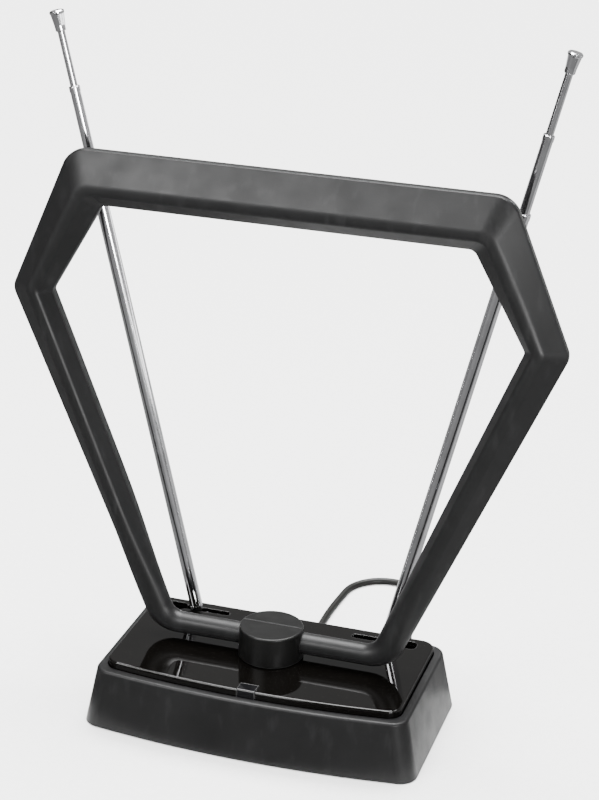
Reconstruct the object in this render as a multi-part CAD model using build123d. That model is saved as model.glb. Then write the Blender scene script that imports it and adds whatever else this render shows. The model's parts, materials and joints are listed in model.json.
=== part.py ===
from build123d import *

import math
import os

os.makedirs("parts", exist_ok=True)

# Rabbit ears antenna: a weighted base, a tilting UHF loop and two telescopic VHF rods.
# Millimetres.  X runs left to right, Y from front to back, Z up.
# The origin is on the surface the antenna stands on, under the hub's axis.

# ---- driving dimensions ----------------------------------------------------------------

# plan outlines: (half length, y of the front corners, bow of the front edge, y of the rear, corner radius)
FOOT_OUTLINE = (92.5, -43.9, 7.3, 51.2, 10.0)
RIM_OUTLINE = (86.0, -41.7, 6.35, 47.4, 9.0)
PLATE_OUTLINE = (81.4, -36.8, 6.2, 43.6, 8.0)

HOUSING_BOTTOM = 0.5
RIM_Z = 33.5
PLATE_TOP = 37.5
PLATE_SEAT_Z = 31.2
PLATE_THICKNESS = 2.5
PLATE_EDGE_RADIUS = 1.1
INSERT_HALF_LENGTH = 4.8
INSERT_REAR_Y = -35.8
INSERT_BOTTOM = 32.9
INSERT_GAP = 0.3
INSERT_PROUD = 0.35
SHELL_WALL = 2.2
RIM_UNDERSIDE = 28.7

COVER_BOTTOM = 1.2
COVER_TOP = 3.4
FOOT_POSITIONS = [(-76, -29), (76, -29), (-76, 37), (76, 37)]
FOOT_RADIUS = 6.0
COVER_SCREWS = [(-56, -34), (56, -34), (-74, 20), (74, 20)]
COVER_BOSS_RADIUS = 3.2

# inside the base
BALLAST_TOP = 10.4
BALLAST_PEGS = (-38, 38)
BALLAST_PEG_Y = -25
BOARD_POSTS = [(-25, -1), (25, -1), (-25, 21), (25, 21)]
BOARD_BOTTOM = 12.0
BOARD_TOP = 13.6
BRACKET_BOTTOM = 7.5
BRACKET_TOP = 8.7
BRACKET_SCREW_Y = 22.0
EAR_GAP = 4.2
EAR_THICKNESS = 1.2
PIN_RADIUS = 1.5
LEAD_RADIUS = 0.6

# the hub and the loop's bottom bar, which turns in it about the X axis
HUB_TOP = 54.8
HUB_TOP_RADIUS = 17.2
HUB_FOOT_RADIUS = 17.7
BAR_Y = 2.0
BAR_Z = 46.15
BAR_RADIUS = 5.85
BAR_CLEARANCE = 0.08
HUB_SCREWS = [(-7, -10.5), (7, -10.5), (-7, 12.2), (7, 12.2)]

# the loop, seen from the front: (x, z) of its right-hand corners, top, middle and bottom
OUTER_CORNERS = [(115.2, 305.8), (148.4, 227.3), (67.7, 40.3)]
NOSE_CORNERS = [(106.2, 286.9), (133.9, 230.0), (61.0, 46.15)]
INNER_CORNERS = [(97.5, 277.2), (125.9, 227.7), (56.3, 52.0)]
OUTER_RADII = [14.0, 9.0, 19.0]
NOSE_RADII = [9.0, 6.0, 14.0]
INNER_RADII = [5.0, 3.0, 8.0]
LOOP_SEAM_Y = 3.0
LOOP_NOSE_Y = -6.0
LOOP_BACK_Y = 10.0
LOOP_WALL = 2.0
NOSE_HALF_WIDTH = 2.4
NOSE_WALL_FACTOR = 1.7
CAVITY_NOSE_HALF_WIDTH = 3.0
FULL_DEPTH_Z = 110.0
BAR_HALF_LENGTH = 50.0
LOOP_SCREWS = [(-80, 286.9), (80, 286.9), (-131.5, 226.5), (131.5, 226.5), (-90.5, 120), (90.5, 120)]
CONDUCTOR_RADIUS = 1.2

# the telescopic rods
ROD_Y = 35.0
PIVOT_X = 52.2
PIVOT_Z = 26.0
LEFT_TILT = -13.6
RIGHT_TILT = 13.4
SLOT_INNER_X = 35.4
SLOT_OUTER_X = 72.2
SLOT_WIDTH = 4.8
WIDE_SLOT_X = 61.5
WIDE_SLOT_WIDTH = 8.4
WIDE_SLOT_RADIUS = 3.0
OUTER_TUBE_RADIUS = 3.5
MIDDLE_TUBE_RADIUS = 2.75
INNER_ROD_RADIUS = 2.0
TUBE_WALL = 0.35
SLIDE_CLEARANCE = 0.10
BLADE_HALF_WIDTH = 3.5
BLADE_HALF_THICKNESS = 1.5
KNUCKLE_RADIUS = 4.0
KNUCKLE_HALF_LENGTH = 3.9
COLLAR_START = 13.3
COLLAR_FOOT_RADIUS = 2.2
TUBE_START = 14.5
SHANK_LENGTH = 2.5
OUTER_MOUTH = 270.3
MIDDLE_SHOWN = 42.0
LEFT_INNER_SHOWN = 29.0
RIGHT_INNER_SHOWN = 32.0
MIDDLE_LENGTH = 250.0
INNER_LENGTH = 238.0
GUIDE_LENGTH = 6.0
MOUTH_BEAD = 3.0
MOUTH_LIP = 2.0
CAP_LENGTH = 11.0
CAP_FOOT_RADIUS = 2.8
CAP_TOP_RADIUS = 3.95

# the cord: a 4 mm coaxial lead
RELIEF_INNER_Y = 45.2
RELIEF_WALL_Y = 51.4
CORD_RADIUS = 2.0
CORD_EXIT = (0.0, 66.0, 9.0)
CORD_ROUTE = [
    CORD_EXIT,
    (0.0, 79.0, 9.0),
    (-2.0, 100.0, 2.2),
    (-2.6, 121.0, 2.0),
    (-1.4, 141.0, 2.0),
    (0.4, 160.5, 2.0),
    (15.0, 173.8, 2.0),
    (35.0, 173.2, 2.0),
    (48.4, 158.6, 2.0),
    (46.6, 138.5, 2.0),
    (43.4, 119.0, 2.2),
    (42.0, 104.0, 2.6),
    (42.0, 89.5, 2.6),
]
HANK_CENTRE = (44.0, 71.5)
HANK_HALF_RUN = 16.0
HANK_INNER_RADIUS = 10.0
HANK_OUTER_RADIUS = 18.0
HANK_BOTTOM = 0.6
HANK_TOP = 12.6
TAIL_ROUTE = [
    (68.0, 57.5, 10.6),
    (58.0, 57.5, 12.6),
    (46.0, 57.5, 19.3),
    (35.0, 57.5, 19.3),
]
TIE_X = (51.5, 56.5)
TIE_THICKNESS = 0.6
BOOT_LENGTH = 15.0
NUT_LENGTH = 8.0
NUT_ACROSS_FLATS = 11.0


# ---- helpers ---------------------------------------------------------------------------


def save(name, *solids):
    """Write one node; several separate solids share it as a group."""
    shape = solids[0] if len(solids) == 1 else Compound(children=list(solids))
    export_step(shape, os.path.join("parts", name + ".step"))


def box(x0, x1, y0, y1, z0, z1):
    return Pos((x0 + x1) / 2, (y0 + y1) / 2, (z0 + z1) / 2) * Box(x1 - x0, y1 - y0, z1 - z0)


def post(x, y, z0, z1, radius, top_radius=None):
    """An upright round post, hole or cone."""
    lift = Pos(x, y, (z0 + z1) / 2)
    if top_radius is None:
        return lift * Cylinder(radius, z1 - z0)
    return lift * Cone(radius, top_radius, z1 - z0)


def along_x(x0, x1, y, z, radius):
    return Pos((x0 + x1) / 2, y, z) * Rot(0, 90, 0) * Cylinder(radius, x1 - x0)


def along_y(x, y0, y1, z, radius, end_radius=None):
    """A round bar along Y; with end_radius it tapers towards the higher y."""
    place = Pos(x, (y0 + y1) / 2, z) * Rot(-90, 0, 0)
    if end_radius is None:
        return place * Cylinder(radius, y1 - y0)
    return place * Cone(radius, end_radius, y1 - y0)


def outline(half_length, front, bow, rear, corner):
    """A plan outline: straight sides and rear, and a front edge that bows forward."""
    edges = [
        ThreePointArc((-half_length, front), (0, front - bow), (half_length, front)),
        Line((half_length, front), (half_length, rear)),
        Line((half_length, rear), (-half_length, rear)),
        Line((-half_length, rear), (-half_length, front)),
    ]
    face = make_face(edges)
    return fillet(face.vertices(), corner)


def inset(shape, distance):
    half_length, front, bow, rear, corner = shape
    return (half_length - distance, front + distance, bow, rear - distance, max(corner - distance, 1.0))


def prism(shape, z0, z1):
    return extrude(Pos(0, 0, z0) * outline(*shape), z1 - z0)


def housing_outline(z):
    """The housing's outer outline at a height; its walls lean in towards the rim."""
    share = (z - HOUSING_BOTTOM) / (RIM_Z - HOUSING_BOTTOM)
    return tuple(a + (b - a) * share for a, b in zip(FOOT_OUTLINE, RIM_OUTLINE))


def tapered(distance, z0, z1):
    """A solid that follows the housing's walls, inset by a distance."""
    faces = [Pos(0, 0, z) * outline(*inset(housing_outline(z), distance)) for z in (z0, z1)]
    return loft(faces, ruled=True)


def tube_along(points, radius, largest_bend=None):
    """A round wire or cord: straight runs joined by arcs as large as the runs allow."""
    vectors = [Vector(*p) for p in points]
    bends = []
    for before, corner, after in zip(vectors, vectors[1:], vectors[2:]):
        run_in = corner - before
        run_out = after - corner
        turn = math.radians(run_in.get_angle(run_out))
        bend = 0.45 * min(run_in.length, run_out.length) / math.tan(turn / 2)
        bends.append(bend if largest_bend is None else min(bend, largest_bend))
    path = FilletPolyline(*vectors, radius=bends)
    start = Plane(origin=path @ 0, z_dir=path % 0)
    return sweep(start * Circle(radius), path=path), path.length, bends


def screw(x, y, z, length, shaft=1.1, head=2.2, head_height=1.5):
    """A pan-head screw driven upwards; z is the underside of the part it clamps."""
    body = post(x, y, z - head_height, z, head) + post(x, y, z, z + length, shaft)
    cross = box(x - 1.4, x + 1.4, y - 0.3, y + 0.3, z - head_height, z - head_height + 0.7)
    cross += box(x - 0.3, x + 0.3, y - 1.4, y + 1.4, z - head_height, z - head_height + 0.7)
    return body - cross


# ---- base ------------------------------------------------------------------------------


def base_housing():
    """The sloping matt shell, open below, with a stepped seat for the glossy plate."""
    shell = tapered(0, HOUSING_BOTTOM, RIM_Z)
    rim_edges = shell.faces().sort_by(Axis.Z)[-1].edges()
    shell = fillet(rim_edges, 1.6)
    shell -= tapered(SHELL_WALL, -1, RIM_UNDERSIDE)
    shell -= prism(inset(PLATE_OUTLINE, -0.5), PLATE_SEAT_Z, RIM_Z + 1)
    shell -= prism(inset(PLATE_OUTLINE, 2.2), RIM_UNDERSIDE - 1, PLATE_SEAT_Z + 1)
    ledge = tapered(SHELL_WALL - 0.3, COVER_TOP, COVER_TOP + 1.8)
    ledge -= prism(inset(FOOT_OUTLINE, 6.0), COVER_TOP - 1, COVER_TOP + 3)
    ledge -= box(-8, 8, 40, 60, COVER_TOP - 1, COVER_TOP + 3)
    shell += ledge
    shell -= along_y(0, 40, 60, CORD_EXIT[2], 4.2)
    return shell


def insert_blank(margin):
    """The small block of space at the plate's front edge that the insert fills."""
    return box(-INSERT_HALF_LENGTH - margin, INSERT_HALF_LENGTH + margin, -46, INSERT_REAR_Y + margin,
               INSERT_BOTTOM - margin, PLATE_TOP + 1)


def insert_core(margin):
    """What the insert laps over: the plate's skirt and its top under the insert."""
    return box(-6, 6, -41.3 + margin, -34, 30, 35.9 - margin)


def plate_blank(proud=0.0):
    blank = prism(PLATE_OUTLINE, PLATE_SEAT_Z, PLATE_TOP + proud)
    top_edges = blank.faces().sort_by(Axis.Z)[-1].edges()
    return fillet(top_edges, PLATE_EDGE_RADIUS)


def rod_slot(side):
    """A narrow slot for the knuckle's blade, wide at its outer end where the tube dips in."""
    narrow = Pos(side * (SLOT_INNER_X + SLOT_OUTER_X) / 2, ROD_Y) * SlotOverall(
        SLOT_OUTER_X - SLOT_INNER_X, SLOT_WIDTH)
    wide = Pos(side * (WIDE_SLOT_X + SLOT_OUTER_X) / 2, ROD_Y) * RectangleRounded(
        SLOT_OUTER_X - WIDE_SLOT_X, WIDE_SLOT_WIDTH, WIDE_SLOT_RADIUS)
    return narrow + wide


def top_plate():
    """The glossy lid with its skirt, the rod slots and the bosses that everything screws to."""
    underside = PLATE_TOP - PLATE_THICKNESS
    plate = plate_blank() - prism(inset(PLATE_OUTLINE, 2.0), PLATE_SEAT_Z - 1, underside)
    for x, y in COVER_SCREWS:
        plate += post(x, y, COVER_TOP, underside + 0.2, COVER_BOSS_RADIUS)
        plate -= post(x, y, COVER_TOP - 1, 20, 1.3)
    for side in (-1, 1):
        plate -= extrude(Pos(0, 0, underside - 1) * rod_slot(side), 5)
        for x in bracket_screw_x(side):
            plate += post(x, BRACKET_SCREW_Y, BRACKET_TOP, underside + 0.2, 2.8)
            plate -= post(x, BRACKET_SCREW_Y, BRACKET_TOP - 1, 18, 1.15)
    plate -= post(0, BAR_Y, underside - 1, PLATE_TOP + 1, 8.2)
    for x, y in HUB_SCREWS:
        plate -= post(x, y, underside - 1, PLATE_TOP + 1, 1.5)
    plate -= insert_blank(INSERT_GAP) - insert_core(0.1)
    return plate


def front_insert():
    """The narrow insert that laps over the plate's front edge."""
    insert = plate_blank(INSERT_PROUD) & insert_blank(0)
    top = insert.faces().sort_by(Axis.Z)[-1]
    rear = top.edges().sort_by(Axis.Y)[-1]
    return chamfer(rear, INSERT_PROUD) - insert_core(0)


def bottom_cover():
    """The flat cover with its screw holes, foot recesses, board posts and ballast pegs."""
    cover = prism(inset(FOOT_OUTLINE, 3.3), COVER_BOTTOM, COVER_TOP)
    for x, y in FOOT_POSITIONS:
        cover -= post(x, y, COVER_BOTTOM - 1, COVER_BOTTOM + 0.6, FOOT_RADIUS + 0.1)
    for x, y in COVER_SCREWS:
        cover -= post(x, y, 0, COVER_TOP + 1, 1.4)
        cover -= post(x, y, 0, COVER_BOTTOM + 1.4, 2.8)
    for x, y in BOARD_POSTS:
        cover += post(x, y, COVER_TOP - 0.2, BOARD_BOTTOM, 2.6)
        cover -= post(x, y, COVER_TOP, BOARD_BOTTOM + 1, 1.05)
    for x in BALLAST_PEGS:
        cover += post(x, BALLAST_PEG_Y, COVER_TOP - 0.2, BALLAST_TOP, 2.0)
    return cover


def rubber_feet():
    feet = []
    for x, y in FOOT_POSITIONS:
        foot = post(x, y, 0, COVER_BOTTOM + 0.6, FOOT_RADIUS)
        feet.append(chamfer(foot.faces().sort_by(Axis.Z)[0].edges(), 0.4))
    return feet


# ---- inside the base ---------------------------------------------------------------------


def bracket_screw_x(side):
    return [side * PIVOT_X - 9, side * PIVOT_X + 9]


def ballast_weight():
    slab = box(-50, 50, -37, -13, COVER_TOP, BALLAST_TOP)
    slab = chamfer(slab.edges().filter_by(Axis.Z), 3)
    for x in BALLAST_PEGS:
        slab -= post(x, BALLAST_PEG_Y, 0, BALLAST_TOP + 1, 2.1)
    return slab


def circuit_board():
    board = box(-30, 30, -6, 26, BOARD_BOTTOM, BOARD_TOP)
    board = fillet(board.edges().filter_by(Axis.Z), 1.5)
    for x, y in BOARD_POSTS:
        board -= post(x, y, BOARD_BOTTOM - 1, BOARD_TOP + 1, 1.4)
    return board


def board_screws():
    flip = Rot(180, 0, 0)
    screws = []
    for x, y in BOARD_POSTS:
        screws.append(Pos(x, y, BOARD_TOP) * flip * screw(0, 0, 0, 7, shaft=1.0, head=2.0, head_height=1.3))
    return screws


def balun_core():
    """The two-hole ferrite core of the matching transformer."""
    core = box(-7, 7, 11, 18, BOARD_TOP, BOARD_TOP + 7.4)
    core = fillet(core.edges().filter_by(Axis.Y), 3)
    for x in (-3.4, 3.4):
        core -= along_y(x, 10, 19, BOARD_TOP + 3.7, 1.7)
    return core


def balun_windings():
    """Wire turns through the core's two holes, two on each side of the middle web."""
    turns = []
    for x in (-3.9, -2.9, 2.9, 3.9):
        inward = 1 if x < 0 else -1
        z = BOARD_TOP + 3.7
        points = [
            (x, 10.0, BOARD_TOP),
            (x, 10.0, z),
            (x, 19.0, z),
            (x + 0.4 * inward, 19.0, BOARD_TOP),
        ]
        wire, _, _ = tube_along(points, 0.3, largest_bend=0.8)
        turns.append(wire)
    return turns


def board_parts():
    """Capacitors and air-core coils of the combining filter."""
    parts = []
    for x, y in ((-17, 4), (-17, 10), (17, 4), (17, 10)):
        parts.append(post(x, y, BOARD_TOP, BOARD_TOP + 4.5, 2.2))
    for x in (-10, 10):
        coil = along_x(x - 4, x + 4, -1.5, BOARD_TOP + 2.0, 2.0) - along_x(x - 5, x + 5, -1.5, BOARD_TOP + 2.0, 1.2)
        parts.append(coil)
    return parts


def rod_bracket(side):
    """A bent steel U that carries one rod's pivot pin, hung under the plate's bosses."""
    x = side * PIVOT_X
    bracket = box(x - 12.5, x + 12.5, 18, ROD_Y + EAR_GAP + EAR_THICKNESS, BRACKET_BOTTOM, BRACKET_TOP)
    for face_y in (ROD_Y - EAR_GAP - EAR_THICKNESS, ROD_Y + EAR_GAP):
        ear = box(x - 5, x + 5, face_y, face_y + EAR_THICKNESS, BRACKET_BOTTOM, PIVOT_Z)
        ear += along_y(x, face_y, face_y + EAR_THICKNESS, PIVOT_Z, 5)
        bracket += ear
    bracket -= along_y(x, 20, 50, PIVOT_Z, PIN_RADIUS + 0.02)
    for screw_x in bracket_screw_x(side):
        bracket -= post(screw_x, BRACKET_SCREW_Y, 0, 20, 1.4)
    return bracket


def pivot_pin(side):
    front = ROD_Y - EAR_GAP - EAR_THICKNESS
    back = ROD_Y + EAR_GAP + EAR_THICKNESS
    pin = along_y(side * PIVOT_X, front - 0.8, back, PIVOT_Z, PIN_RADIUS)
    return pin + along_y(side * PIVOT_X, front - 1.6, front, PIVOT_Z, 2.6)


def rod_lead(side):
    """The wire from a rod's bracket to the board."""
    points = [
        (side * 41.5, 28.0, BRACKET_TOP),
        (side * 41.5, 28.0, 19.0),
        (side * 27.5, 14.0, 19.0),
        (side * 27.5, 14.0, BOARD_TOP),
    ]
    return tube_along(points, LEAD_RADIUS, largest_bend=3.0)[0]


def loop_leads():
    """The loop's two feed wires, from the bar's axis down through the hub to the board."""
    wires = []
    for side in (-1, 1):
        points = [
            (side * 1.8, BAR_Y, BAR_Z),
            (side * 1.8, BAR_Y, 28.0),
            (side * 5.5, 5.0, 21.0),
            (side * 5.5, 5.0, BOARD_TOP),
        ]
        wires.append(tube_along(points, 0.5, largest_bend=4.0)[0])
    return wires


def inner_coax():
    """The lead's last stretch, from the strain relief's inner end to the board."""
    points = [
        (0, RELIEF_INNER_Y, CORD_EXIT[2]),
        (0, 38.0, CORD_EXIT[2]),
        (0, 30.0, BOARD_TOP + 4.0),
        (0, 21.0, BOARD_TOP + 4.0),
    ]
    return tube_along(points, CORD_RADIUS)[0]


# ---- hub -------------------------------------------------------------------------------


def hub_halves():
    """The round hub, split through the bar's axis so that its halves grip the bar."""
    hub = post(0, 0, PLATE_TOP + 0.6, HUB_TOP, HUB_FOOT_RADIUS, HUB_TOP_RADIUS)
    hub = fillet(hub.edges().sort_by(Axis.Z)[-1], 0.9)
    hub += post(0, 0, PLATE_TOP, PLATE_TOP + 0.6, HUB_FOOT_RADIUS - 0.9)
    hub += post(0, BAR_Y, PLATE_TOP - 5, PLATE_TOP, 8.0)
    hub -= along_x(-30, 30, BAR_Y, BAR_Z, BAR_RADIUS + BAR_CLEARANCE)
    hub -= post(0, BAR_Y, 30, BAR_Z, 4.0)
    for x, y in HUB_SCREWS:
        hub -= post(x, y, 30, 48, 1.25)
    for side in (-1, 1):
        hub -= pad_space(side, 0.05)
    half_seam = 0.06
    front = hub - box(-30, 30, BAR_Y - half_seam, 40, 20, 70)
    rear = hub - box(-30, 30, -40, BAR_Y + half_seam, 20, 70)
    return front, rear


def pad_space(side, margin):
    x0, x1 = sorted((side * 7.0, side * 14.0))
    return box(x0 - margin, x1 + margin, BAR_Y - 3 - margin, BAR_Y + 3 + margin, PLATE_TOP + 1.0, BAR_Z - 3)


def hub_friction_pads():
    """Two pads under the bar that hold the loop at the angle it is set to."""
    bore = along_x(-30, 30, BAR_Y, BAR_Z, BAR_RADIUS + BAR_CLEARANCE)
    return [pad_space(side, 0) - bore for side in (-1, 1)]


# ---- loop ------------------------------------------------------------------------------


def hexagon(corners, radii, y, grow=0.0):
    """A symmetric six-sided face in the XZ plane at y, with rounded corners."""
    right = list(corners)
    left = [(-x, z) for x, z in reversed(corners)]
    points = right + left
    face = make_face(Polyline(*points, close=True))
    if grow:
        face = offset(face, grow, kind=Kind.INTERSECTION)
    upright = Plane(origin=(0, y, 0), x_dir=(1, 0, 0), z_dir=(0, -1, 0))
    levels = [corners[0][1], corners[1][1], corners[2][1]]
    for level, radius in zip(levels, radii):
        near = [v for v in face.vertices() if abs(v.Y - level) < 12]
        face = fillet(near, radius)
    return upright * face


def hexagon_prism(corners, radii, y0, y1, grow=0.0):
    front = hexagon(corners, radii, y0, grow)
    back = hexagon(corners, radii, y1, grow)
    return loft([front, back], ruled=True)


def hexagon_loft(wide, wide_radii, wide_grow, nose_grow, y_wide, y_nose):
    """The sloping faces between the loop's side edges and its front nose."""
    faces = [
        hexagon(wide, wide_radii, y_wide, wide_grow),
        hexagon(NOSE_CORNERS, NOSE_RADII, y_nose, nose_grow),
    ]
    return loft(faces, ruled=True)


def loop_ring(wall, nose_half):
    """The loop's section carried round its six sides: a nosed front and a flat back."""
    nose_y = LOOP_NOSE_Y + wall * NOSE_WALL_FACTOR
    back_y = LOOP_BACK_Y - wall
    ring = hexagon_loft(OUTER_CORNERS, OUTER_RADII, -wall, nose_half, LOOP_SEAM_Y, nose_y)
    ring -= hexagon_loft(INNER_CORNERS, INNER_RADII, wall, -nose_half, LOOP_SEAM_Y, nose_y)
    band = hexagon_prism(OUTER_CORNERS, OUTER_RADII, LOOP_SEAM_Y, back_y, -wall)
    band -= hexagon_prism(INNER_CORNERS, INNER_RADII, LOOP_SEAM_Y, back_y, wall)
    return ring + band


def loop_envelope(wall):
    """Side profile of the loop: its depth shrinks to the round bar at the bottom."""
    bar_front = BAR_Y - BAR_RADIUS + wall
    bar_back = BAR_Y + BAR_RADIUS - wall
    points = [
        (bar_front, 30),
        (bar_front, BAR_Z),
        (LOOP_NOSE_Y + wall, FULL_DEPTH_Z),
        (LOOP_NOSE_Y + wall, 320),
        (LOOP_BACK_Y - wall, 320),
        (LOOP_BACK_Y - wall, FULL_DEPTH_Z),
        (bar_back, BAR_Z),
        (bar_back, 30),
    ]
    side = Plane(origin=(-160, 0, 0), x_dir=(0, 1, 0), z_dir=(1, 0, 0))
    return extrude(side * make_face(Polyline(*points, close=True)), 320)


def loop_body():
    """The whole outer shape: the six-sided ring and the round bar that closes it."""
    ring = loop_ring(0, NOSE_HALF_WIDTH)
    ring = fillet(ring.edges().filter_by_position(Axis.Y, LOOP_NOSE_Y - 0.01, LOOP_NOSE_Y + 0.01), 2.2)
    ring = fillet(ring.edges().filter_by_position(Axis.Y, LOOP_BACK_Y - 0.01, LOOP_BACK_Y + 0.01), 3.0)
    ring &= loop_envelope(0)
    ring -= box(-BAR_HALF_LENGTH, BAR_HALF_LENGTH, -20, 20, 30, 60)
    return ring + along_x(-BAR_HALF_LENGTH - 2, BAR_HALF_LENGTH + 2, BAR_Y, BAR_Z, BAR_RADIUS)


def loop_cavity():
    ring = loop_ring(LOOP_WALL, CAVITY_NOSE_HALF_WIDTH) & loop_envelope(LOOP_WALL)
    ring -= box(-BAR_HALF_LENGTH - 1, BAR_HALF_LENGTH + 1, -20, 20, 30, 60)
    return ring + along_x(-BAR_HALF_LENGTH - 5, BAR_HALF_LENGTH + 5, BAR_Y, BAR_Z, BAR_RADIUS - LOOP_WALL)


def loop_shells():
    """Front and rear shells, which meet at the loop's widest plane and hold the conductor."""
    body = loop_body()
    shell = body - loop_cavity()
    front_half = box(-160, 160, -20, LOOP_SEAM_Y, 20, 320)
    rear_half = box(-160, 160, LOOP_SEAM_Y, 20, 20, 320)
    front = shell & front_half
    rear = shell & rear_half
    for x, z in LOOP_SCREWS:
        front += along_y(x, LOOP_NOSE_Y + 2, LOOP_SEAM_Y, z, 2.6)
        front -= along_y(x, LOOP_NOSE_Y + 3.5, LOOP_SEAM_Y + 1, z, 1.12)
        rear += along_y(x, LOOP_SEAM_Y, LOOP_BACK_Y - 1, z, 3.6)
        rear -= along_y(x, LOOP_SEAM_Y - 1, LOOP_BACK_Y + 1, z, 1.3)
        rear -= along_y(x, LOOP_BACK_Y - 1.8, LOOP_BACK_Y + 1, z, 2.5)
    front -= box(-4, 4, BAR_Y - 8, LOOP_SEAM_Y, BAR_Z - 8, BAR_Z + 1.2)
    return front, rear


def loop_conductor():
    """The UHF element: one stout wire round the loop, its ends side by side in the bar."""
    points = [
        (3.0, BAR_Y, BAR_Z),
        (65.0, BAR_Y, BAR_Z),
        (139.5, BAR_Y, 228.6),
        (110.5, BAR_Y, 296.0),
    ]
    points += [(-x, y, z) for x, y, z in reversed(points)]
    return tube_along(points, CONDUCTOR_RADIUS, largest_bend=8.0)[0]


def loop_screws():
    turn = Rot(90, 0, 0)
    head_y = LOOP_BACK_Y - 1.8
    return [Pos(x, head_y, z) * turn * screw(0, 0, 0, 9, shaft=1.1, head=2.2, head_height=1.3)
            for x, z in LOOP_SCREWS]


# ---- rods ------------------------------------------------------------------------------


def on_rod(side, shape):
    """Place a piece drawn upright over the pivot onto a rod at its resting tilt."""
    tilt = LEFT_TILT if side < 0 else RIGHT_TILT
    return Pos(side * PIVOT_X, ROD_Y, PIVOT_Z) * Rot(0, tilt, 0) * shape


def tube_section(low, high, radius, lip_radius, bead):
    """A thin tube whose mouth is rolled in round the next section, with a bead outside."""
    tube = post(0, 0, low, high, radius) + post(0, 0, high - MOUTH_BEAD, high, radius + bead)
    rims = tube.edges().filter_by(GeomType.CIRCLE).filter_by_position(Axis.Z, high - 0.01, high + 0.01)
    tube = fillet(rims, 0.4)
    tube -= post(0, 0, low - 1, high - MOUTH_LIP, radius - TUBE_WALL)
    tube -= post(0, 0, high - MOUTH_LIP - 1, high + 1, lip_radius)
    return tube


def rod_knuckle():
    """The pivot boss, a flat blade up through the slot, and the shank that the tube is crimped on."""
    bore = OUTER_TUBE_RADIUS - TUBE_WALL - 0.03
    knuckle = along_y(0, -KNUCKLE_HALF_LENGTH, KNUCKLE_HALF_LENGTH, 0, KNUCKLE_RADIUS)
    knuckle += box(-BLADE_HALF_WIDTH, BLADE_HALF_WIDTH, -BLADE_HALF_THICKNESS, BLADE_HALF_THICKNESS,
                   1, COLLAR_START + 0.5) & post(0, 0, 0, TUBE_START, BLADE_HALF_WIDTH)
    collar_height = TUBE_START - COLLAR_START
    collar = Cone(COLLAR_FOOT_RADIUS, OUTER_TUBE_RADIUS, collar_height)
    knuckle += Pos(0, 0, COLLAR_START + collar_height / 2) * collar
    knuckle += post(0, 0, TUBE_START - 0.5, TUBE_START + SHANK_LENGTH, bore)
    return knuckle - along_y(0, -6, 6, 0, PIN_RADIUS + 0.06)


def outer_tube():
    lip = MIDDLE_TUBE_RADIUS + SLIDE_CLEARANCE
    return tube_section(TUBE_START, OUTER_MOUTH, OUTER_TUBE_RADIUS, lip, 0.2)


def middle_tube():
    mouth = OUTER_MOUTH + MIDDLE_SHOWN
    lip = INNER_ROD_RADIUS + SLIDE_CLEARANCE
    return tube_section(mouth - MIDDLE_LENGTH, mouth, MIDDLE_TUBE_RADIUS, lip, 0.2)


def middle_guide():
    """The stepped brass bush that guides the middle tube inside the outer one."""
    low = OUTER_MOUTH + MIDDLE_SHOWN - MIDDLE_LENGTH
    bore = OUTER_TUBE_RADIUS - TUBE_WALL
    guide = post(0, 0, low - GUIDE_LENGTH, low, bore - SLIDE_CLEARANCE)
    guide = chamfer(guide.edges().filter_by(GeomType.CIRCLE), 0.4)
    return guide + post(0, 0, low - 0.5, low + 4, MIDDLE_TUBE_RADIUS - TUBE_WALL - 0.02)


def inner_rod(shown):
    top = OUTER_MOUTH + MIDDLE_SHOWN + shown
    low = top - INNER_LENGTH
    rod = post(0, 0, low + GUIDE_LENGTH, top + 5, INNER_ROD_RADIUS)
    return rod + post(0, 0, low, low + GUIDE_LENGTH, 1.3)


def inner_guide(shown):
    low = OUTER_MOUTH + MIDDLE_SHOWN + shown - INNER_LENGTH
    bore = MIDDLE_TUBE_RADIUS - TUBE_WALL
    guide = post(0, 0, low, low + GUIDE_LENGTH, bore - SLIDE_CLEARANCE)
    return guide - post(0, 0, low - 1, low + GUIDE_LENGTH + 1, 1.32)


def tip_cap(shown):
    """The flared button that stops the rod sliding right in."""
    low = OUTER_MOUTH + MIDDLE_SHOWN + shown
    profile = [
        (0, 0),
        (CAP_FOOT_RADIUS - 0.3, 0),
        (CAP_FOOT_RADIUS, 0.4),
        (CAP_FOOT_RADIUS + 0.1, 3.0),
        (CAP_TOP_RADIUS - 0.4, CAP_LENGTH - 2.2),
        (CAP_TOP_RADIUS, CAP_LENGTH - 1.6),
        (CAP_TOP_RADIUS, CAP_LENGTH - 0.8),
        (CAP_TOP_RADIUS - 0.6, CAP_LENGTH - 0.2),
        (CAP_TOP_RADIUS - 1.6, CAP_LENGTH),
        (0, CAP_LENGTH),
    ]
    half = Plane.XZ * make_face(Polyline(*profile, close=True))
    cap = revolve(half, Axis.Z, 360)
    return Pos(0, 0, low) * (cap - post(0, 0, -1, 5, INNER_ROD_RADIUS + 0.02))


# ---- cord ------------------------------------------------------------------------------



def strain_relief():
    """The moulded grommet that grips the lead in the housing's rear wall."""
    z = CORD_EXIT[2]
    end_y = CORD_EXIT[1]
    relief = along_y(0, RELIEF_INNER_Y, RELIEF_INNER_Y + 1.8, z, 5.3)
    relief += along_y(0, RELIEF_INNER_Y, RELIEF_WALL_Y + 1, z, 4.1)
    relief += along_y(0, RELIEF_WALL_Y, RELIEF_WALL_Y + 1.8, z, 5.2)
    relief += along_y(0, RELIEF_WALL_Y + 1, end_y, z, 4.5, 2.9)
    for step in range(3):
        groove_y = RELIEF_WALL_Y + 4.2 + step * 3.2
        ring = along_y(0, groove_y, groove_y + 1.2, z, 6) - along_y(0, groove_y, groove_y + 1.2, z, 2.7)
        relief -= ring
    return relief


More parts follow.
